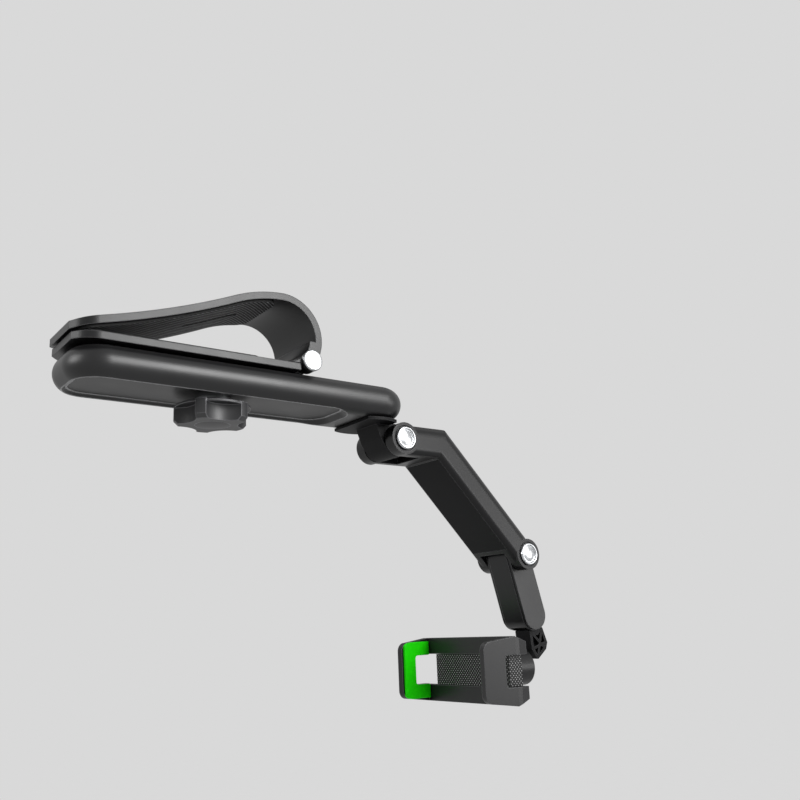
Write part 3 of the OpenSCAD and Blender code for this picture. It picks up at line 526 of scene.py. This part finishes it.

# %% [markdown]
# ## Springs that move
# The clip's torsion spring has one leg on each jaw, so its turns twist as the clip opens. The
# clamp's two coil springs shorten as the far jaw slides out. A rigid CAD solid can do neither.
# Each spring is a merged copy of its CAD mesh, because that already has the right wire and turns.
# A blend along the hinge twists the first spring, and the others only ride on their CAD node's body.

# %% A smooth copy of a spring
def smooth_copy(node, name):
    """Copy a spring's CAD mesh in zinc-plated steel and shade it smooth."""
    work = merged_mesh(node)
    for face in work.faces:
        face.smooth = True
    return put_in_scene(name, work, zinc)


joints = {joint["name"]: joint for joint in frame["joints"]}
print("joints:", sorted(joints))

# %% The clip's torsion spring
# How far the straight leg at each end of the spring reaches along the hinge
LEG_MM = 1.3
leg = LEG_MM * MM
hinge = Vector(joints["clip_hinge"]["pos_m"])
low, high = (Vector(corner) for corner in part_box("clip_spring"))
torsion = smooth_copy("clip_spring", "torsion_spring")
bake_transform(torsion, "clip_base", "upper_clip",
         start=(hinge.x, low.y + leg, hinge.z), end=(hinge.x, high.y - leg, hinge.z))
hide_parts("clip_spring")
print("the spring twists over", round((high.y - low.y - 2 * leg) / MM, 1), "mm of the hinge")

# %% The clamp's coil springs
for side in ("upper", "lower"):
    node = "clamp_spring_" + side
    low, high = (Vector(corner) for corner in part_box(node))
    coil = smooth_copy(node, "coil_spring_" + side)
    stands_for(coil, node)
    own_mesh(coil)

# %% [markdown]
# ## Dress the CAD nodes
# A CAD node keeps its exact mesh and only gets a better material. The nodes that a new piece
# stands for are dressed too, so that none is left plain.

# %% Give every node its material
FINISH = {
    shell_abs: ["body_shell"],
    satin_abs: ["lower_jaw", "upper_jaw", "link_core", "link_cover_front", "link_cover_rear",
                "ring_nut", "clamp_housing", "slider_jaw"],
    arm_abs: ["arm_shell"],
    knob_abs: ["knob", "knob_cap"],
    plain_abs: ["base_cover"],
    dull_abs: ["turntable_knuckle", "arm_cover", "ribbed_bracket"],
    chrome: [*CAP_PROFILES, "ball_stud"],
    zinc: ["clip_pin", "clip_spring", "pivot_nut", "knob_screw", "knob_washer", "turntable_screw",
           "turntable_washer", "elbow_pin_upper", "elbow_pin_lower", "wrist_pin",
           "clamp_spring_upper", "clamp_spring_lower"],
    clip_rubber: ["lower_jaw_pad", "upper_jaw_pad"],
    plain_rubber: ["elbow_washers_upper", "elbow_washers_lower", "ball_liner"],
    mesh_rubber: ["back_pad"],
    green_rubber: ["fixed_jaw_pad", "slider_jaw_pad"],
}

for material, nodes in FINISH.items():
    for node in nodes:
        mesh = frame["nodes"][node].data
        mesh.materials.clear()
        mesh.materials.append(material)
dressed = sum(len(nodes) for nodes in FINISH.values())
print("dressed", dressed, "of", len(frame["nodes"]), "nodes")

# %% [markdown]
# ## The room
# A pale floor and a pale world stand in for the photographer's white card.
# Brighter lamps could make a white background too, but they would bleach the black plastic.
# So the camera and the reflections see the card's own grey, while the lamps and a weaker white
# world decide how the object is lit.

# %% World
CARD_GREY = "#d9d9d9"
ROOM_STRENGTH = 0.35


def seen_rays(tree):
    """A mask that is 1 for camera, glossy and transmission rays."""
    rays = add(tree, "LightPath")
    mask = rays.outputs["Is Camera Ray"]
    for kind in ("Is Glossy Ray", "Is Transmission Ray"):
        either = add(tree, "Math", {"operation": "MAXIMUM"}, i0=mask, i1=rays.outputs[kind])
        mask = either.outputs[0]
    return mask


world = bpy.data.worlds.new("pale_card")
world.use_nodes = True
tree = world.node_tree
tree.nodes.clear()
room = add(tree, "Background", Color=linear("#ffffff"), Strength=ROOM_STRENGTH)
card = add(tree, "Background", Color=linear(CARD_GREY), Strength=1.0)
both = add(tree, "MixShader", Fac=seen_rays(tree), i1=room.outputs[0], i2=card.outputs[0])
add(tree, "OutputWorld", Surface=both.outputs[0])
bpy.context.scene.world = world
print("the world shows", CARD_GREY, "and lights with", ROOM_STRENGTH)

# %% Floor
FLOOR_Z = -0.5
FLOOR_HALF = 3.0
PAPER_GREYS = ("#dadada", "#d8d8d8")
PAPER_PER_METRE = 40.0
PAPER_ROUGHNESS = 0.9

floor_data = bpy.data.meshes.new("floor")
floor_mesh = bmesh.new()
bmesh.ops.create_grid(floor_mesh, x_segments=1, y_segments=1, size=FLOOR_HALF)
bmesh.ops.translate(floor_mesh, verts=floor_mesh.verts, vec=(0, 0, FLOOR_Z))
floor_mesh.to_mesh(floor_data)
floor_mesh.free()
floor = bpy.data.objects.new("floor", floor_data)
bpy.context.scene.collection.objects.link(floor)

floor_paint, tree = new_material("pale_card_floor")
where = add(tree, "TexCoord").outputs["Object"]
paper = add(tree, "TexNoise", Vector=where, Scale=PAPER_PER_METRE, Detail=2.0)
tone = add(tree, "Mix", MIX_COLOURS, Factor=paper.outputs["Fac"],
           i6=linear(PAPER_GREYS[0]), i7=linear(PAPER_GREYS[1]))
matt = add(tree, "BsdfPrincipled", Base_Color=tone.outputs[2], Roughness=PAPER_ROUGHNESS)
glow = add(tree, "Emission", Color=tone.outputs[2], Strength=1.0)
seen = add(tree, "MixShader", Fac=seen_rays(tree), i1=matt.outputs[0], i2=glow.outputs[0])
finish_with(tree, seen)
floor_data.materials.append(floor_paint)
print("the floor lies at", FLOOR_Z, "metres")

# %% [markdown]
# ## The lamps
# In the photograph one large soft light stands at the front right, a little above the object. It
# makes the broad highlights on the jaw, the body and the arm.
# A weaker one from the right lifts the clamp, and two more, at the left and above, keep the far
# sides from going black.
# Point lamps would mirror as hard dots. Area lamps are chosen because their size sets how soft a
# highlight is.

# %% Lamps
OBJECT_MIDDLE = (0.06, 0.0, -0.05)
# Each lamp's name, place, width and height in metres, and power in watts
LAMPS = [
    ("key_right", (0.4, -0.93, 0.34), 0.42, 0.6, 12.3),
    ("low_right", (0.83, -0.82, -0.06), 0.5, 0.4, 2.4),
    ("left_wall", (-0.95, 0.1, 0.3), 0.5, 0.5, 5),
    ("overhead", (0.0, 0.4, 0.8), 0.5, 0.5, 3),
]


def lamp(name, place, width, height, power):
    """A soft box at a place, turned to the object's middle. Its upright side is the height."""
    data = bpy.data.lights.new(name, "AREA")
    data.shape = "RECTANGLE"
    data.size = width
    data.size_y = height
    data.energy = power
    light = bpy.data.objects.new(name, data)
    towards = Vector(OBJECT_MIDDLE) - Vector(place)
    turn = towards.to_track_quat("-Z", "Y").to_matrix().to_4x4()
    light.matrix_world = Matrix.Translation(place) @ turn
    bpy.context.scene.collection.objects.link(light)


for row in LAMPS:
    lamp(*row)
bpy.context.scene.view_settings.view_transform = "Standard"
